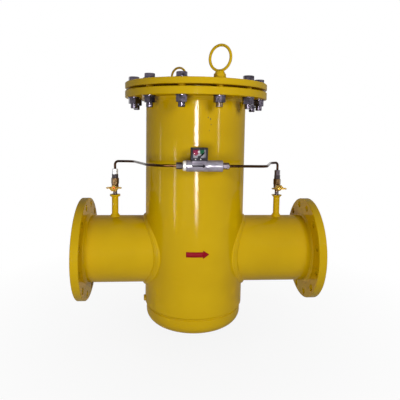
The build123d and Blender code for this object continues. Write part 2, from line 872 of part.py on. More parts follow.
def riser_upright():
    """Upright leg of the mitred bend, up to the cartridge's seat."""
    return vessel * (tube(nozzle_r, nozzle_bore_r, -shell_r, riser_top_z) & mitre_half(1))


def seat_ring():
    return vessel * tube(cartridge_r + seat_ring_lip, nozzle_bore_r, riser_top_z, seat_top_z)


def tie_rod():
    """Rod on a cross bar that is welded inside the riser."""
    bar = block(
        (-nozzle_r, -cross_bar_width / 2, tie_low_z - cross_bar_thick),
        (nozzle_r, cross_bar_width / 2, tie_low_z),
    )
    bar &= rod(nozzle_bore_r, -shell_od, shell_od)
    nut_top = cartridge_top_z + seal_thick + tie_nut_height
    return vessel * (bar + rod(tie_rod_d / 2, tie_low_z, nut_top + tie_rod_spare))


def cartridge_seals():
    """Flat rings under the cartridge and under the hold-down nut."""
    outer_r = cartridge_r
    lower = tube(outer_r, outer_r - seal_width, seat_top_z, cartridge_z)
    upper = tube(tie_rod_af, tie_rod_d / 2 + 0.5, cartridge_top_z, cartridge_top_z + seal_thick)
    return [vessel * lower, vessel * upper]


def end_cap(bore_r):
    """Shallow dish that holds the end of the pleated medium, rim upwards."""
    outer_r = cartridge_r
    dish = rod(outer_r, 0, 3 * cartridge_cap_thick)
    dish -= rod(media_r + 0.5, cartridge_cap_thick, 3 * cartridge_cap_thick)
    return dish - rod(bore_r, 0, cartridge_cap_thick)


def cartridge_base():
    return vessel * Pos(0, 0, cartridge_z) * end_cap(core_r - 2 * core_wall)


def cartridge_top():
    return vessel * Pos(0, 0, cartridge_top_z) * Rot(180, 0, 0) * end_cap(tie_rod_d / 2 + 0.5)


def pleat_outline(outer_r, inner_r):
    """Closed zigzag about the axis."""
    points = []
    for index in range(2 * pleat_count):
        radius = outer_r if index % 2 == 0 else inner_r
        angle = radians(180 * index / pleat_count)
        points.append((radius * cos(angle), radius * sin(angle)))
    return make_face(Polyline(*points, close=True))


def filter_medium():
    """Pleated sheet round the core."""
    root_r = media_r - pleat_depth
    sheet = pleat_outline(media_r, root_r)
    sheet -= pleat_outline(media_r - 2 * media_thick, root_r - media_thick)
    return vessel * Pos(0, 0, media_low_z) * extrude(sheet, amount=media_high_z - media_low_z)


def cartridge_core():
    """Slotted inner tube that keeps the medium from collapsing."""
    core = tube(core_r, core_r - core_wall, media_low_z, media_high_z)
    pitch = (media_high_z - media_low_z) / core_slot_rows
    slot = to_x * extrude(SlotOverall(core_slot_length, core_slot_width), amount=2 * core_r)
    for row in range(core_slot_rows):
        height = media_low_z + pitch * (row + 0.5)
        for column in range(core_slot_columns):
            turn = 360 / core_slot_columns * (column + 0.5 * (row % 2))
            core -= Pos(0, 0, height) * Rot(0, 0, turn) * slot
    return vessel * core


def hold_down_nut():
    base = cartridge_top_z + seal_thick
    nut = hexagon(tie_rod_af, base, base + tie_nut_height)
    return vessel * (nut - rod(tie_rod_d / 2 + thread_gap, base, base + tie_nut_height))


nodes = {
    "body_shell": body_shell(), "bottom_head": bottom_head(), "head_weld": head_weld(),
    "drain_boss": drain_boss(), "drain_plug": drain_plug(),
    "inlet_flange": inlet_flange(), "outlet_flange": outlet_flange(),
    "inlet_pipe": inlet_pipe(), "outlet_pipe": outlet_pipe(), "saddle_welds": saddle_welds(),
    "body_flange": body_flange(), "cover_gasket": cover_gasket(), "cover": cover(),
    "cover_bolts": cover_bolts(), "front_lifting_eye": front_lifting_eye(),
    "rear_lifting_eye": rear_lifting_eye(), "cover_washers": cover_washers(),
    "cover_nuts": cover_nuts(), "inlet_stub": inlet_stub(), "outlet_stub": outlet_stub(),
    "cock_seats": cock_seats(), "cock_gland_nuts": cock_gland_nuts(),
    "tube_adapters": tube_adapters(), "inlet_impulse_tube": inlet_impulse_tube(),
    "outlet_impulse_tube": outlet_impulse_tube(), "indicator_body": indicator_body(),
    "indicator_end_cap": indicator_end_cap(), "inlet_indicator_fitting": inlet_indicator_fitting(),
    "outlet_indicator_fitting": outlet_indicator_fitting(), "indicator_piston": indicator_piston(),
    "piston_magnet": piston_magnet(), "indicator_saddle": indicator_saddle(),
    "dial_case": dial_case(), "dial_bezel": dial_bezel(), "dial_glass": dial_glass(),
    "dial_face": dial_face(), "pointer": pointer(), "pointer_magnet": pointer_magnet(),
    "riser_level": riser_level(), "riser_upright": riser_upright(),
    "seat_ring": seat_ring(), "tie_rod": tie_rod(),
    "cartridge_seals": cartridge_seals(), "cartridge_base": cartridge_base(),
    "cartridge_top": cartridge_top(), "filter_medium": filter_medium(),
    "cartridge_core": cartridge_core(), "hold_down_nut": hold_down_nut(),
}
handle_turns = {"inlet": Rot(0, 0, 0), "outlet": Rot(0, 180, 0)}
for side, place in zip(("inlet", "outlet"), cock_places()):
    nodes[f"{side}_cock_body"] = cock_body(place)
    nodes[f"{side}_cock_ball"] = cock_ball(place)
    nodes[f"{side}_cock_stem"] = cock_stem(place)
    nodes[f"{side}_cock_handle"] = cock_handle(place * handle_turns[side])
    nodes[f"{side}_handle_screw"] = handle_screw(place)
    nodes[f"{side}_union_nut"] = union_nut(place)

os.makedirs("parts", exist_ok=True)
for name, made in nodes.items():
    pieces = made if isinstance(made, list) else [made]
    solids = [solid for piece in pieces for solid in piece.solids()]
    export_step(Compound(children=solids) if len(solids) > 1 else solids[0], f"parts/{name}.step")
    print(name, len(solids))
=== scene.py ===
# %% [markdown]
# # Gas filter
# A yellow pressure vessel that cleans pipeline gas. Its solids come ready made and to size
# from the CAD model. This lesson adds what CAD leaves out: the paint's gloss and orange peel,
# threads, weld beads, the dial's print and the flow arrows, and then the light and the camera.
# Everything is in metres, in the model's own frame, with the gas flowing along +X.

# %% Load the model
import json
from math import asin, cos, pi, radians, sin, sqrt, tau

import bmesh
import bpy
from mathutils import Matrix, Vector


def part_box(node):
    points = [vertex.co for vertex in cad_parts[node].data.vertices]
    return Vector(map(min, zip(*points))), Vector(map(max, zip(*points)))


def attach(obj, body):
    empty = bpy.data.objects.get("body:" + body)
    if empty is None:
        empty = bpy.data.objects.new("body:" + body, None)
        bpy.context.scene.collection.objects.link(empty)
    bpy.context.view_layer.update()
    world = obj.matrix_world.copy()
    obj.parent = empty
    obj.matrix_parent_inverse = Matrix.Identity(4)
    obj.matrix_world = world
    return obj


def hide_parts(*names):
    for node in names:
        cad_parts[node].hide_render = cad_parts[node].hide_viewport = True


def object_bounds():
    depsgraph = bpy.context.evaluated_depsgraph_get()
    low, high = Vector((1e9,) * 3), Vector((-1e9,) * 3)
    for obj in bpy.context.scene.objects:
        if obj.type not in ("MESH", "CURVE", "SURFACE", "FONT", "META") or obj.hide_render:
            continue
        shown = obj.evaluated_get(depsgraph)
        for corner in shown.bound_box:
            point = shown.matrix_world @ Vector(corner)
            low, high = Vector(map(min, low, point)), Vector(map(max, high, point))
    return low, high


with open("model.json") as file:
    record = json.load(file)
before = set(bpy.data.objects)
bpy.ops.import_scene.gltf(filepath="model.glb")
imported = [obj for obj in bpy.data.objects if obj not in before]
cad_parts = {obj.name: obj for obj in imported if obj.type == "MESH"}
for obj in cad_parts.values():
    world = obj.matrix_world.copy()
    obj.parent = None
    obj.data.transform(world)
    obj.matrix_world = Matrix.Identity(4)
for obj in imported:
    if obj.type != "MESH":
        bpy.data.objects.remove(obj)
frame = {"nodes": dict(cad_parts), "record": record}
cad_bounds = [list(corner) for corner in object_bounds()]
print("nodes:", len(frame["nodes"]), "bounds:", cad_bounds)

# %% [markdown]
# Some places are needed again and again: the vessel's upright axis, the radius of its painted
# shell, the axis of the little indicator in front, and the two cocks. They are read from the
# boxes of the CAD nodes where that is possible, so that the added pieces can't drift.

# %% Places on the object
def middle(node):
    low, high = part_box(node)
    return (Vector(low) + Vector(high)) / 2


shell_low, shell_high = (Vector(corner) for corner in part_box("body_shell"))
VESSEL_X = middle("body_shell").x
SHELL_R = (shell_high.x - shell_low.x) / 2
INDICATOR = middle("indicator_body")
INDICATOR_R = (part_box("indicator_body")[1][1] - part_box("indicator_body")[0][1]) / 2
print("vessel axis", round(VESSEL_X, 4), "shell radius", round(SHELL_R, 4))

# %% [markdown]
# Colours are easiest to write as they look on a screen, from 0 to 255, but a shader wants
# linear light. This helper turns one into the other.

# %% Screen colours to linear light
def screen(red, green, blue):
    linear = []
    for value in (red, green, blue):
        share = value / 255
        linear.append(share / 12.92 if share <= 0.04045 else ((share + 0.055) / 1.055) ** 2.4)
    return (*linear, 1.0)


# %% [markdown]
# Every finish here starts from the Principled shader. Three helpers then give it what a real
# surface has: a colour that varies a little, a gloss that varies a little, and a fine relief.
# All of them read Object coordinates, so the pattern stays on the piece when it moves.

# %% Helpers for finishes
def finish(name, colour, metallic=0.0, roughness=0.4, **sockets):
    material = bpy.data.materials.new(name)
    material.use_nodes = True
    shader = material.node_tree.nodes["Principled BSDF"]
    shader.inputs["Base Color"].default_value = colour
    shader.inputs["Metallic"].default_value = metallic
    shader.inputs["Roughness"].default_value = roughness
    for socket, value in sockets.items():
        shader.inputs[socket.replace("_", " ")].default_value = value
    return material


def noise(material, scale, detail=4.0, stretch=(1, 1, 1)):
    """A noise pattern on Object coordinates: scale is how many lumps fit in a metre."""
    nodes, links = material.node_tree.nodes, material.node_tree.links
    place = nodes.new("ShaderNodeTexCoord")
    mapping = nodes.new("ShaderNodeMapping")
    mapping.inputs["Scale"].default_value = stretch
    pattern = nodes.new("ShaderNodeTexNoise")
    pattern.inputs["Scale"].default_value = scale
    pattern.inputs["Detail"].default_value = detail
    links.new(place.outputs["Object"], mapping.inputs["Vector"])
    links.new(mapping.outputs["Vector"], pattern.inputs["Vector"])
    return pattern.outputs["Fac"]


def mottle(material, dark, light, scale, detail=4.0, stretch=(1, 1, 1)):
    """Colour that drifts between two tones."""
    nodes, links = material.node_tree.nodes, material.node_tree.links
    ramp = nodes.new("ShaderNodeValToRGB")
    ramp.color_ramp.elements[0].position = 0.3
    ramp.color_ramp.elements[0].color = dark
    ramp.color_ramp.elements[1].position = 0.7
    ramp.color_ramp.elements[1].color = light
    links.new(noise(material, scale, detail, stretch), ramp.inputs["Fac"])
    links.new(ramp.outputs["Color"], nodes["Principled BSDF"].inputs["Base Color"])


def uneven_gloss(material, low, high, scale, stretch=(1, 1, 1)):
    """Roughness that drifts between two values."""
    nodes, links = material.node_tree.nodes, material.node_tree.links
    spread = nodes.new("ShaderNodeMapRange")
    spread.inputs["From Min"].default_value = 0.3
    spread.inputs["From Max"].default_value = 0.7
    spread.inputs["To Min"].default_value = low
    spread.inputs["To Max"].default_value = high
    links.new(noise(material, scale, 3.0, stretch), spread.inputs["Value"])
    links.new(spread.outputs["Result"], nodes["Principled BSDF"].inputs["Roughness"])


def relief(material, *layers):
    """Bumps: each layer is lumps per metre, height in metres, and detail."""
    nodes, links = material.node_tree.nodes, material.node_tree.links
    normal = None
    for scale, height, detail in layers:
        bump = nodes.new("ShaderNodeBump")
        bump.inputs["Distance"].default_value = height
        links.new(noise(material, scale, detail), bump.inputs["Height"])
        if normal:
            links.new(normal, bump.inputs["Normal"])
        normal = bump.outputs["Normal"]
    links.new(normal, nodes["Principled BSDF"].inputs["Normal"])
    links.new(normal, nodes["Principled BSDF"].inputs["Coat Normal"])


# %% [markdown]
# The vessel, its flanges and its stubs have one thick coat of yellow enamel. Enamel brushed or
# sprayed on steel dries with a slight orange peel, which breaks up the edges of every
# reflection, and the steel under it is never quite flat. So the bump has two layers, one of
# lumps a few millimetres across and one of lumps a few centimetres across.

# %% Yellow enamel
enamel = finish(
    "yellow enamel", screen(208, 168, 14), roughness=0.5, Specular_IOR_Level=0.0,
    Coat_Weight=0.2, Coat_Roughness=0.085,
)
mottle(enamel, screen(202, 163, 4), screen(212, 174, 8), 6.0)
uneven_gloss(enamel, 0.44, 0.56, 9.0)
relief(enamel, (260.0, 0.00006, 2.0), (30.0, 0.0003, 1.0))
primer = finish("inside primer", screen(120, 112, 100), roughness=0.6)
mottle(primer, screen(104, 96, 86), screen(134, 126, 114), 25.0)
relief(primer, (300.0, 0.0001, 4.0))

# %% [markdown]
# Bolts, nuts and lifting eyes are plated steel that has gone dull, with a faint violet cast.
# The plating is patchy, and its grain is much finer than the paint's.

# %% Plated and bare metals
def metal(name, dark, light, roughness, grain=220.0, depth=0.00004, bare=1.0, **sockets):
    """A metal finish. Bare is 1 for clean metal and less where plating or oxide dulls it."""
    material = finish(name, light, metallic=bare, roughness=roughness, **sockets)
    mottle(material, dark, light, grain / 3)
    uneven_gloss(material, roughness * 0.8, roughness * 1.35, grain / 2)
    relief(material, (grain * 4, depth, 3.0))
    return material


zinc_steel = metal("dull zinc", screen(34, 31, 38), screen(100, 93, 106), 0.2, bare=0.9)
dark_steel = metal(
    "dark phosphate", screen(48, 42, 44), screen(84, 76, 80), 0.45, bare=0.1, Specular_IOR_Level=0.1,
)
white_zinc = metal("bright zinc", screen(236, 236, 240), screen(252, 252, 254), 0.25, bare=0.25)
grey_zinc = metal("grey zinc", screen(66, 58, 64), screen(108, 98, 106), 0.2, bare=0.5)
bronze_body = metal("dull brass", screen(84, 62, 36), screen(128, 100, 64), 0.3, bare=0.8)
handle_gold = metal("yellow passivation", screen(104, 76, 18), screen(150, 116, 36), 0.34, bare=0.7)
screw_orange = metal("orange screw", screen(176, 84, 36), screen(216, 118, 58), 0.35)
screw_gold = metal("gold screw", screen(206, 164, 60), screen(240, 206, 110), 0.2)
bright_steel = metal("polished steel", screen(196, 196, 198), screen(226, 226, 228), 0.15, depth=0.00001)
plain_steel = metal("galvanised steel", screen(150, 152, 156), screen(186, 188, 192), 0.4)
tube_copper = metal("brown copper", screen(26, 14, 6), screen(60, 38, 22), 0.2, grain=90.0)
aluminium = metal(
    "anodised aluminium", screen(124, 118, 130), screen(158, 152, 164), 0.2, depth=0.00002, bare=0.22,
)
cast_saddle = metal(
    "cast saddle", screen(104, 98, 110), screen(132, 126, 138), 0.5, bare=0.1, Specular_IOR_Level=0.05,
)
nickel = metal(
    "bright nickel", screen(244, 240, 234), screen(254, 252, 248), 0.3, depth=0.00001, bare=0.2,
)
magnet = metal("sintered magnet", screen(52, 52, 56), screen(76, 76, 80), 0.5)

# %% [markdown]
# The rest is plastic, rubber, paper and glass. Moulded plastic gets a fine even grain, and the
# printed colours of the dial are plain inks with very little gloss.

# %% Plastics, rubbers, inks and glass
def moulded(name, colour, tone, roughness, grain=900.0, depth=0.00004, **sockets):
    material = finish(name, colour, roughness=roughness, **sockets)
    mottle(material, colour, tone, grain / 12)
    uneven_gloss(material, roughness * 0.85, roughness * 1.15, grain / 8)
    relief(material, (grain, depth, 2.0))
    return material


def printed(name, colour, tone):
    """Ink or film: it lies flat and hardly shines."""
    return moulded(name, colour, tone, 0.6, depth=0.00001, Specular_IOR_Level=0.05)


case_grey = moulded(
    "dial case plastic", screen(26, 24, 30), screen(38, 35, 44), 0.5, Specular_IOR_Level=0.04,
)
dial_white = printed("scale plate", screen(190, 184, 192), screen(200, 195, 202))
pointer_black = moulded(
    "pointer black", screen(14, 14, 18), screen(20, 20, 24), 0.6, Specular_IOR_Level=0.04,
)
ink_red = printed("red ink", screen(160, 24, 72), screen(170, 30, 80))
ink_green = printed("green ink", screen(8, 100, 60), screen(16, 110, 68))
ink_white = printed("white ink", screen(240, 240, 242), screen(250, 250, 250))
ink_black = printed("black ink", screen(26, 24, 32), screen(34, 32, 40))
arrow_red = printed("red film", screen(150, 16, 34), screen(160, 22, 40))
gasket = moulded("gasket sheet", screen(44, 42, 42), screen(58, 56, 54), 0.8)
seal = moulded("soft rubber", screen(28, 28, 28), screen(36, 36, 36), 0.6)
seat_plastic = moulded("seat plastic", screen(232, 232, 228), screen(240, 240, 238), 0.4)
paper = moulded("filter sheet", screen(214, 208, 188), screen(226, 220, 202), 0.9, depth=0.0002)
clear = finish("clear pane", screen(30, 32, 36), roughness=0.03, Alpha=0.06, IOR=1.45)
uneven_gloss(clear, 0.02, 0.06, 60.0)

# %% [markdown]
# Each CAD node belongs to a material slot in the part's record, so one table from slot to
# finish dresses them all.

# %% Dress the CAD nodes
finish_of = {
    "enamel": enamel, "primer": primer, "zinc_steel": zinc_steel, "gasket": gasket, "seal": seal,
    "bronze_body": bronze_body, "handle_gold": handle_gold, "screw_orange": screw_orange,
    "screw_gold": screw_gold, "bright_steel": bright_steel, "seat_plastic": seat_plastic,
    "dark_steel": dark_steel, "white_zinc": white_zinc, "grey_zinc": grey_zinc,
    "tube_copper": tube_copper, "indicator_aluminium": aluminium, "nickel": nickel,
    "magnet": magnet, "case_grey": case_grey, "clear": clear, "dial_white": dial_white,
    "pointer_black": pointer_black, "plain_steel": plain_steel, "paper": paper,
}
for part in frame["record"]["subparts"]:
    dressed = frame["nodes"][part["node"]]
    if not dressed.data.materials:
        dressed.data.materials.append(None)
    for place in dressed.material_slots:
        place.material = finish_of[part["material_slot"]]
for place in frame["nodes"]["indicator_saddle"].material_slots:
    place.material = cast_saddle

# %% [markdown]
# New pieces are made in a bmesh and then handed over in one way: the mesh becomes an object,
# gets its finish, and rides on the body it is fixed to.

# %% Hand a piece over
def add_piece(name, mesh, material, body="vessel", smooth=True):
    bmesh.ops.recalc_face_normals(mesh, faces=mesh.faces)
    for face in mesh.faces:
        face.smooth = smooth
    data = bpy.data.meshes.new(name)
    mesh.to_mesh(data)
    mesh.free()
    data.materials.append(material)
    piece = bpy.data.objects.new(name, data)
    bpy.context.scene.collection.objects.link(piece)
    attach(piece, body)
    print(name, len(data.polygons), "faces")
    return piece


def lathe(mesh, points, steps, matrix=Matrix(), closed=True):
    """Spins (radius, height) points about Z into a ring, puts it in place and returns its points."""
    before = set(mesh.verts)
    profile = [mesh.verts.new((radius, 0, height)) for radius, height in points]
    following = profile[1:] + profile[:1] if closed else profile[1:]
    edges = [mesh.edges.new(pair) for pair in zip(profile, following)]
    bmesh.ops.spin(
        mesh, geom=profile + edges, cent=(0, 0, 0), axis=(0, 0, 1), angle=tau,
        steps=steps, use_merge=True,
    )
    made = [vert for vert in mesh.verts if vert not in before]
    bmesh.ops.transform(mesh, matrix=matrix, verts=made)
    return made


# %% [markdown]
# The flow arrow is a red film stuck on the shell, and the indicator has a smaller arrow
# printed on it. A film follows the surface under it, so both start flat, are cut across every
# few millimetres, and each point is then moved out onto the round surface.

# %% Arrows wrapped on round surfaces
def flat_arrow(tail, neck, tip, half_shaft, half_head, cut):
    """An arrow along X, cut into strips across its length or its height."""
    mesh = bmesh.new()
    outline = [
        (tail, half_shaft), (neck, half_shaft), (neck, half_head), (tip, 0.0),
        (neck, -half_head), (neck, -half_shaft), (tail, -half_shaft),
    ]
    mesh.faces.new([mesh.verts.new((x, 0, z)) for x, z in outline])
    normal = Vector((1, 0, 0)) if cut == "x" else Vector((0, 0, 1))
    low, high = (tail, tip) if cut == "x" else (-half_head, half_head)
    strips = 16
    for strip in range(1, strips):
        place = normal * (low + (high - low) * strip / strips)
        everything = mesh.verts[:] + mesh.edges[:] + mesh.faces[:]
        bmesh.ops.bisect_plane(mesh, geom=everything, plane_co=place, plane_no=normal)
    return mesh


FILM = 0.0003
arrow = flat_arrow(-0.0335, 0.0178, 0.0366, 0.0081, 0.0131, "x")
for vert in arrow.verts:
    vert.co.y = -sqrt((SHELL_R + FILM) ** 2 - vert.co.x ** 2)
    vert.co += Vector((VESSEL_X, 0, 0.0265))
bmesh.ops.solidify(arrow, geom=arrow.faces[:], thickness=FILM)
add_piece("flow_arrow", arrow, arrow_red)

arrow = flat_arrow(-0.0224, 0.0085, 0.0186, 0.0023, 0.0056, "z")
INK = 0.00012
for vert in arrow.verts:
    vert.co.z += 0.0009
    vert.co.y = -sqrt((INDICATOR_R + INK) ** 2 - vert.co.z ** 2)
    vert.co += Vector((VESSEL_X, INDICATOR.y, INDICATOR.z))
bmesh.ops.solidify(arrow, geom=arrow.faces[:], thickness=INK)
add_piece("indicator_arrow", arrow, ink_black)

# %% [markdown]
# The dial is a white plate with a red field, a green field and a round white mark between
# them. Each field is a thin plate of its own, laid on the scale plate.

# %% Print on the dial
plate_low, plate_high = (Vector(corner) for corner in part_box("dial_face"))
case_low, case_high = (Vector(corner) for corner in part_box("dial_case"))
DIAL_X = (case_low.x + case_high.x) / 2


def dial_print(name, points, material, height=0.00015):
    mesh = bmesh.new()
    verts = [
        mesh.verts.new((DIAL_X + x / 1000, plate_low.y, case_low.z + z / 1000)) for x, z in points
    ]
    face = mesh.faces.new(verts)
    if face.normal.y > 0:
        face.normal_flip()
    grown = bmesh.ops.extrude_face_region(mesh, geom=[face])["geom"]
    moved = [item for item in grown if isinstance(item, bmesh.types.BMVert)]
    bmesh.ops.translate(mesh, verts=moved, vec=(0, -height, 0))
    add_piece(name, mesh, material, smooth=False)


red_field = [
    (-19.5, 33.5), (-0.6, 33.5), (-0.8, 27.0), (-2.6, 24.6), (-1.4, 21.6), (-4.6, 16.8),
    (-9.6, 13.2), (-14.0, 16.4), (-18.0, 21.0), (-19.5, 24.6),
]
green_field = [
    (0.4, 33.5), (14.0, 33.5), (14.2, 25.6), (12.4, 22.6), (7.8, 20.0), (3.6, 19.4),
    (1.2, 21.6), (2.6, 24.4),
]
dial_print("dial_red_field", red_field, ink_red)
dial_print("dial_green_field", green_field, ink_green)
mark = [(-0.9 + 3.2 * cos(tau * k / 24), 25.4 + 3.2 * sin(tau * k / 24)) for k in range(24)]
dial_print("dial_white_mark", mark, ink_white, height=0.0003)

# %% [markdown]
# The pointer is a broad black leaf, cut from thin sheet and fixed on the CAD model's needle. It
# swings with the needle, so it is drawn along the needle's own line and rides on the pointer's
# body. One half of the leaf is drawn and mirrored, and the flat shape is then given its thickness.

# %% Leaf on the pointer
PIVOT = middle("pointer_magnet")
LEAF_ANGLE = 43
pointer_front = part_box("pointer")[0][1]
leaf_edge = [(4.0, 1.5), (8.0, 2.3), (13.0, 2.5), (18.0, 2.0), (21.5, 0.5)]
leaf_line = leaf_edge + [(along, -across) for along, across in reversed(leaf_edge)]
leaf = bmesh.new()
leaf.faces.new([leaf.verts.new((along / 1000, 0, across / 1000)) for along, across in leaf_line])
bmesh.ops.solidify(leaf, geom=leaf.faces[:], thickness=0.0005)
low_y = min(vert.co.y for vert in leaf.verts)
leaf_place = Matrix.Translation((PIVOT.x, pointer_front + 0.00024 - low_y, PIVOT.z))
turned = Matrix.Rotation(radians(-LEAF_ANGLE), 4, "Y")
bmesh.ops.transform(leaf, matrix=leaf_place @ turned, verts=leaf.verts)
add_piece("pointer_leaf", leaf, pointer_black, "indicator_hand", smooth=False)

# %% [markdown]
# Threads are left to this script too, because the CAD model has plain cylinders. A thread seen
# from a step away is a stack of fine rings, so each is one zigzag profile spun round its axis.

# %% Threads on the bolts' ends and under the cocks
def thread(mesh, radius, low, high, pitch, matrix, steps=24):
    """Ring-shaped ridges between two heights. Their roots sit just under the plain surface."""
    count = max(2, round((high - low) / pitch))
    pitch = (high - low) / count
    root, crest, core = radius - 0.0001, radius + 0.00045, radius - 0.001
    points = [(core, low), (root, low)]
    for turn in range(count):
        points += [(crest, low + (turn + 0.5) * pitch), (root, low + (turn + 1) * pitch)]
    points.append((core, high))
    lathe(mesh, points, steps, matrix)


BOLT_CIRCLE = 0.205
BOLT_R = 0.010
nut_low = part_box("cover_nuts")[0][2]
bolt_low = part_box("cover_bolts")[0][2]
bolt_axes = []
for index in range(12):
    angle = radians(-75 + 30 * index)
    bolt_axes.append(Vector((VESSEL_X + BOLT_CIRCLE * cos(angle), BOLT_CIRCLE * sin(angle), 0)))
threads = bmesh.new()
for axis in bolt_axes:
    thread(threads, BOLT_R, bolt_low + 0.0018, nut_low, 0.0025, Matrix.Translation(axis))
add_piece("bolt_threads", threads, zinc_steel)

STUB_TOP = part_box("inlet_stub")[1][2]
threads = bmesh.new()
for side in ("inlet", "outlet"):
    place = middle(f"{side}_stub")
    place.z = 0
    thread(threads, 0.0066, STUB_TOP, STUB_TOP + 0.0132, 0.0014, Matrix.Translation(place))
add_piece("cock_threads", threads, grey_zinc)

# %% [markdown]
# The vessel was painted with its cover bolted on, so the bolts' shanks are yellow where they
# cross the gap between the flanges. Each gets a thin sleeve of paint, thicker at its ends.

# %% Paint on the bolts in the gap
gap_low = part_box("body_flange")[1][2] - 0.002
gap_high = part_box("cover")[0][2] + 0.002
coat = [
    (BOLT_R - 0.0005, gap_low), (BOLT_R + 0.0012, gap_low), (BOLT_R + 0.0005, gap_low + 0.0015),
    (BOLT_R + 0.0005, gap_high - 0.0015), (BOLT_R + 0.0012, gap_high), (BOLT_R - 0.0005, gap_high),
]
sleeves = bmesh.new()
for axis in bolt_axes:
    lathe(sleeves, coat, 24, Matrix.Translation(axis))
add_piece("painted_shanks", sleeves, enamel)

# %% [markdown]
# A welder's bead is a row of small overlapping ripples. Each bead starts as a straight rippled
# bar, lathed like the threads, and is then bent round its seam: every point keeps its place in
# the bar's section, and its height along the bar becomes a place along the seam. The beads lie
# in the smooth fillets of the CAD model, so that only their backs stand out.

# %% Weld beads
NOZZLE_R = (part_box("inlet_pipe")[1][2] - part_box("inlet_pipe")[0][2]) / 2
FLANGE_BACK = 0.025


def weld_bead(mesh, seam, length, radius, ripple=0.005):
    """Rippled bar bent round a closed seam, a function from 0..1 to a point and its outward way."""
    count = round(length / ripple)
    profile = []
    for index in range(count):
        profile += [(radius - 0.0004, index / count), (radius, (index + 0.5) / count)]
    profile.append((radius - 0.0004, 1.0))
    bar = lathe(mesh, profile, 10, closed=False)
    for vert in bar:
        spot, out = seam(vert.co.z)
        along = (seam(vert.co.z + 0.001)[0] - seam(vert.co.z - 0.001)[0]).normalized()
        across = along.cross(out).normalized()
        vert.co = spot + across.cross(along) * vert.co.x + across * vert.co.y
    bmesh.ops.remove_doubles(mesh, verts=[vert for vert in bar if vert.is_valid], dist=0.00005)


def ring_seam(centre, first, second, radius):
    """A round seam in the plane of two directions."""
    def seam(share):
        out = first * cos(tau * share) + second * sin(tau * share)
        return centre + out * radius, out
    return seam


def saddle_seam(side, radius, shell_radius):
    """Where the nozzle, made fatter, meets the shell, made fatter."""
    def seam(share):
        out = Vector((0, cos(tau * share), sin(tau * share)))
        reach = sqrt(shell_radius ** 2 - (radius * out.y) ** 2)
        return Vector((VESSEL_X + side * reach, 0, 0)) + out * radius, out
    return seam


def foot_seam(place, radius):
    """Round a stub's foot on top of the nozzle."""
    def seam(share):
        out = Vector((cos(tau * share), sin(tau * share), 0))
        spot = place + out * radius
        spot.z = sqrt(NOZZLE_R ** 2 - spot.y ** 2)
        return spot, out
    return seam


X, Y, Z = Vector((1, 0, 0)), Vector((0, 1, 0)), Vector((0, 0, 1))
beads = bmesh.new()
for side in (-1, 1):
    weld_bead(beads, saddle_seam(side, NOZZLE_R + 0.003, SHELL_R + 0.003), 0.80, 0.0042)
flange_r = NOZZLE_R + 0.0016
outlet_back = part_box("outlet_flange")[1][0] - 0.003 - FLANGE_BACK
for place in (Vector((FLANGE_BACK + 0.0016, 0, 0)), Vector((outlet_back - 0.0016, 0, 0))):
    weld_bead(beads, ring_seam(place, Y, Z, flange_r), tau * flange_r, 0.0034)
flange_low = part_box("body_flange")[0][2] + 0.011
under = Vector((VESSEL_X, 0, flange_low - 0.0025))
weld_bead(beads, ring_seam(under, X, Y, SHELL_R + 0.002), tau * SHELL_R, 0.0044)
head_r = (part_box("bottom_head")[1][0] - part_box("bottom_head")[0][0]) / 2
seam_z = (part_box("head_weld")[0][2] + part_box("head_weld")[1][2]) / 2
weld_bead(beads, ring_seam(Vector((VESSEL_X, 0, seam_z)), X, Y, head_r - 0.0026), tau * head_r, 0.0029)
for side in ("inlet", "outlet"):
    foot = middle(f"{side}_stub")
    foot.z = 0
    weld_bead(beads, foot_seam(foot, 0.0165), tau * 0.0165, 0.0016, ripple=0.003)
add_piece("weld_beads", beads, enamel)

# %% [markdown]
# The screws that hold the cocks' handles have domed heads with a slot. A dome is lathed, cut
# on one side of the slot with a plane, closed and mirrored, and a thin disc below is the slot's
# floor. The screw rides on the cock's key, so it turns with the handle.

# %% Slotted handle screws
def slotted_screw(radius, height, slot):
    mesh = bmesh.new()
    dome = [(0.0, height)]
    for step in range(1, 7):
        angle = radians(15 * step)
        dome.append((radius * sin(angle), height * (0.45 + 0.55 * cos(angle))))
    dome += [(radius, 0.0), (0.0, 0.0)]
    lathe(mesh, dome, 32)
    bmesh.ops.remove_doubles(mesh, verts=mesh.verts, dist=0.00001)
    everything = mesh.verts[:] + mesh.edges[:] + mesh.faces[:]
    bmesh.ops.bisect_plane(
        mesh, geom=everything, plane_co=(slot / 2, 0, 0), plane_no=(1, 0, 0), clear_inner=True,
    )
    bmesh.ops.holes_fill(mesh, edges=[edge for edge in mesh.edges if edge.is_boundary])
    everything = mesh.verts[:] + mesh.edges[:] + mesh.faces[:]
    bmesh.ops.mirror(mesh, geom=everything, axis="X", merge_dist=0)
    base = bmesh.ops.create_cone(
        mesh, cap_ends=True, segments=32, radius1=radius, radius2=radius, depth=height * 0.5,
    )
    bmesh.ops.translate(mesh, verts=base["verts"], vec=(0, 0, height * 0.25))
    return mesh


for side, material, turn in (("inlet", screw_orange, 35), ("outlet", screw_gold, -20)):
    low, high = (Vector(corner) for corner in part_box(f"{side}_handle_screw"))
    screw = slotted_screw(0.004, 0.0025, 0.0012)
    seat = Matrix.Translation(((low.x + high.x) / 2, low.y + 0.0025, (low.z + high.z) / 2))
    face_out = Matrix.Rotation(radians(90), 4, "X") @ Matrix.Rotation(radians(turn), 4, "Z")
    bmesh.ops.transform(screw, matrix=seat @ face_out, verts=screw.verts)
    name = f"{side}_slotted_screw"
    piece = add_piece(name, screw, material,
                      f"{side}_cock_key", smooth=False)
    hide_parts(f"{side}_handle_screw")

# %% [markdown]
# Two of the same screws, much smaller, hold the dial's lower frame.

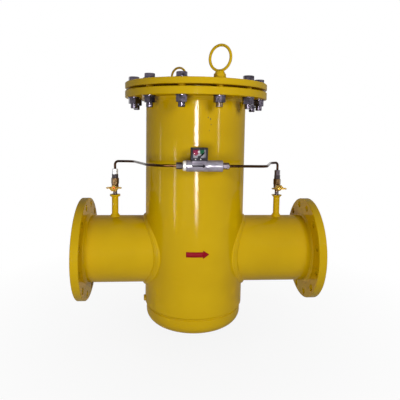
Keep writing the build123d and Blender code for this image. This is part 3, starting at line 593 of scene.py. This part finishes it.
# %% Screws in the dial's frame
frame_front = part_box("dial_bezel")[0][1]
for name, away, height, turn in (("left", -10.7, 4.4, 50), ("right", 3.8, 4.6, -15)):
    screw = slotted_screw(0.0016, 0.0007, 0.0005)
    seat = Matrix.Translation((DIAL_X + away / 1000, frame_front, case_low.z + height / 1000))
    face_out = Matrix.Rotation(radians(90), 4, "X") @ Matrix.Rotation(radians(turn), 4, "Z")
    bmesh.ops.transform(screw, matrix=seat @ face_out, verts=screw.verts)
    add_piece(f"{name}_dial_screw", screw, nickel, smooth=False)

# %% [markdown]
# A few chips in the paint sit high on the shell, where the dark primer shows through. Each is a
# small ball pressed nearly flat, stretched up and down as a chip left by a rope or a chain is.

# %% Paint chips
chips = bmesh.new()
for away, height, size in (
    (0.0261, 0.4364, 0.0013), (0.0331, 0.4319, 0.0017), (0.0352, 0.4160, 0.0012),
    (0.0298, 0.3981, 0.0010), (-0.0700, 0.1350, 0.0009),
):
    spot = Vector((VESSEL_X + away, -sqrt(SHELL_R ** 2 - away ** 2), height))
    chip = bmesh.ops.create_icosphere(chips, subdivisions=2, radius=size)["verts"]
    bmesh.ops.scale(chips, vec=(1.0, 0.3, 1.6), verts=chip)
    turned = Matrix.Rotation(asin(away / SHELL_R), 4, "Z")
    bmesh.ops.transform(chips, matrix=Matrix.Translation(spot) @ turned, verts=chip)
add_piece("paint_chips", chips, dark_steel)

# %% [markdown]
# The camera stands where the photographer stood, a little left of the vessel's middle and
# just above the indicator. Its place and lens come from fitting the flanges' known sizes to
# their outlines in the photograph.

# %% Camera
data = bpy.data.cameras.new("camera")
data.sensor_width = 36.0
data.lens = 35.663
data.shift_x = 0.0032
data.shift_y = -0.0950
camera = bpy.data.objects.new("camera", data)
bpy.context.scene.collection.objects.link(camera)
aim = Matrix.Rotation(radians(-4.304), 4, "Z") @ Matrix.Rotation(radians(90 - 4.934), 4, "X")
aim = aim @ Matrix.Rotation(radians(0.901), 4, "Z")
camera.matrix_world = Matrix.Translation((0.288188, -1.317106, 0.405861)) @ aim
bpy.context.scene.camera = camera

# %% [markdown]
# The light in the photograph comes from beside the camera: tops and edges are dark, and the
# middle is bright. Two large soft lamps do that, one high on the right and one low on the left.
# They are kept out of reflections, which come from four narrow softboxes instead, and
# these light nothing by themselves. The one beside the camera draws the long white line down the
# shell, and leans a little as that line does. It shines straight ahead only, so that it doesn't
# glare on the flanges. The others draw the faint lines.

# %% Lamps
def softbox(name, place, width, height, power, target, lean=0.0):
    light = bpy.data.lights.new(name, "AREA")
    light.shape = "RECTANGLE"
    light.size, light.size_y = width, height
    light.energy = power
    lamp = bpy.data.objects.new(name, light)
    bpy.context.scene.collection.objects.link(lamp)
    facing = (Vector(target) - Vector(place)).to_track_quat("-Z", "Y").to_matrix().to_4x4()
    lamp.matrix_world = Matrix.Translation(place) @ facing @ Matrix.Rotation(radians(lean), 4, "Z")
    return lamp


for name, place, power in (
    ("low_left_fill", (-0.20, -1.50, 0.00), 11.7), ("high_right_fill", (1.20, -1.50, 0.80), 14.0),
):
    fill = softbox(name, place, 0.6, 0.6, power, (0.375, 0.0, 0.20))
    fill.visible_glossy = False
strips = [
    softbox("main_strip", (0.366, -1.40, 0.175), 0.16, 0.77, 1.60, (0.366, 0.0, 0.175), 7.0),
    softbox("left_strip", (-0.83, -1.13, 0.00), 0.09, 0.50, 2.8, (0.30, -0.15, 0.00)),
    softbox("right_strip", (1.57, -1.13, 0.42), 0.08, 0.34, 1.8, (0.43, -0.15, 0.42)),
    softbox("far_left_strip", (-1.30, -0.12, 0.10), 0.08, 0.60, 1.0, (0.26, -0.12, 0.10)),
]
strips[0].data.spread = radians(30)
for strip in strips:
    strip.visible_diffuse = False

# %% [markdown]
# The far sides need light too, though the photograph doesn't show them. One lamp stands straight
# behind the vessel. The cover and the two bolting faces each get a beam no wider than they are,
# which stops there and leaves the tops of the pipes in the shade that the photograph has.

# %% Lamps for the back, the cover and the bolting faces
back = softbox("back_fill", (0.375, 2.30, 0.45), 1.0, 1.0, 3.6, (0.375, 0.0, 0.15))
back.data.spread = radians(60)
back.visible_glossy = False
for name, place, width, power, target in (
    ("cover_beam", (0.375, 0.0, 2.00), 0.38, 0.22, (0.375, 0.0, 0.55)),
    ("inlet_face_beam", (-1.40, 0.0, 0.0), 0.26, 0.1, (0.0, 0.0, 0.0)),
    ("outlet_face_beam", (2.18, 0.0, 0.0), 0.26, 0.1, (0.775, 0.0, 0.0)),
):
    beam = softbox(name, place, width, width, power, target)
    beam.data.spread = radians(8)
    beam.visible_glossy = False

# %% [markdown]
# The world shows plain white to the camera, and so does the floor from a metre away. Nearer the vessel
# the floor shows only nine tenths of that white, which is painted shade round the vessel; the real
# shadow shows through the rest. Light and reflections meet a dim room instead, so the round shell still
# falls off into shade at its edges.

# %% Floor and world
def white_to_camera(tree, plain, output, white, share=None):
    """Shows white to the camera and in reflections, by a share if given, and plain elsewhere."""
    nodes, links = tree.nodes, tree.links
    path = nodes.new("ShaderNodeLightPath")
    mirrored = nodes.new("ShaderNodeMath")
    any_ray = nodes.new("ShaderNodeMath")
    any_ray.use_clamp = True
    links.new(path.outputs["Is Glossy Ray"], mirrored.inputs[0])
    links.new(path.outputs["Is Transmission Ray"], mirrored.inputs[1])
    links.new(path.outputs["Is Camera Ray"], any_ray.inputs[0])
    links.new(mirrored.outputs[0], any_ray.inputs[1])
    seen = nodes.new("ShaderNodeMath")
    seen.operation = "MULTIPLY"
    seen.inputs[1].default_value = 1.0
    if share:
        links.new(share, seen.inputs[1])
    mix = nodes.new("ShaderNodeMixShader")
    links.new(any_ray.outputs[0], seen.inputs[0])
    links.new(seen.outputs[0], mix.inputs["Fac"])
    links.new(plain.outputs[0], mix.inputs[1])
    links.new(white.outputs[0], mix.inputs[2])
    links.new(mix.outputs[0], output.inputs["Surface"])


world = bpy.data.worlds.new("studio")
bpy.context.scene.world = world
world.use_nodes = True
room = world.node_tree.nodes["Background"]
room.inputs["Color"].default_value = (1, 0.9, 0.74, 1)
room.inputs["Strength"].default_value = 0.04
backdrop = world.node_tree.nodes.new("ShaderNodeBackground")
backdrop.inputs["Color"].default_value = (1, 1, 1, 1)
white_to_camera(world.node_tree, room, world.node_tree.nodes["World Output"], backdrop)

floor_mesh = bmesh.new()
bmesh.ops.create_grid(floor_mesh, x_segments=1, y_segments=1, size=6.0)
floor_data = bpy.data.meshes.new("floor")
floor_mesh.to_mesh(floor_data)
floor_mesh.free()
floor = bpy.data.objects.new("floor", floor_data)
floor.location.z = cad_bounds[0][2] - 0.0005
bpy.context.scene.collection.objects.link(floor)
paving = finish("floor white", (0.25, 0.25, 0.25, 1), roughness=0.9)
glow = paving.node_tree.nodes.new("ShaderNodeEmission")
glow.inputs["Color"].default_value = (1, 1, 1, 1)
sheet = paving.node_tree.nodes["Principled BSDF"]
away = paving.node_tree.nodes.new("ShaderNodeVectorMath")
away.operation = "DISTANCE"
away.inputs[1].default_value = (VESSEL_X, 0, 0)
spot = paving.node_tree.nodes.new("ShaderNodeTexCoord")
# Painted shade: within a metre of the vessel the floor shows less of its white, so it is painted darker
# round the vessel, and the real shadow shows only through that gap.
painted_shade_share = paving.node_tree.nodes.new("ShaderNodeMapRange")
painted_shade_share.inputs["From Min"].default_value = 0.1
painted_shade_share.inputs["From Max"].default_value = 1.0
painted_shade_share.inputs["To Min"].default_value = 0.9
painted_shade_share.inputs["To Max"].default_value = 1.0
paving.node_tree.links.new(spot.outputs["Object"], away.inputs[0])
paving.node_tree.links.new(away.outputs["Value"], painted_shade_share.inputs["Value"])
white_to_camera(
    paving.node_tree, sheet, paving.node_tree.nodes["Material Output"], glow, painted_shade_share.outputs["Result"],
)
floor_data.materials.append(paving)
bpy.context.scene.view_settings.view_transform = "Standard"
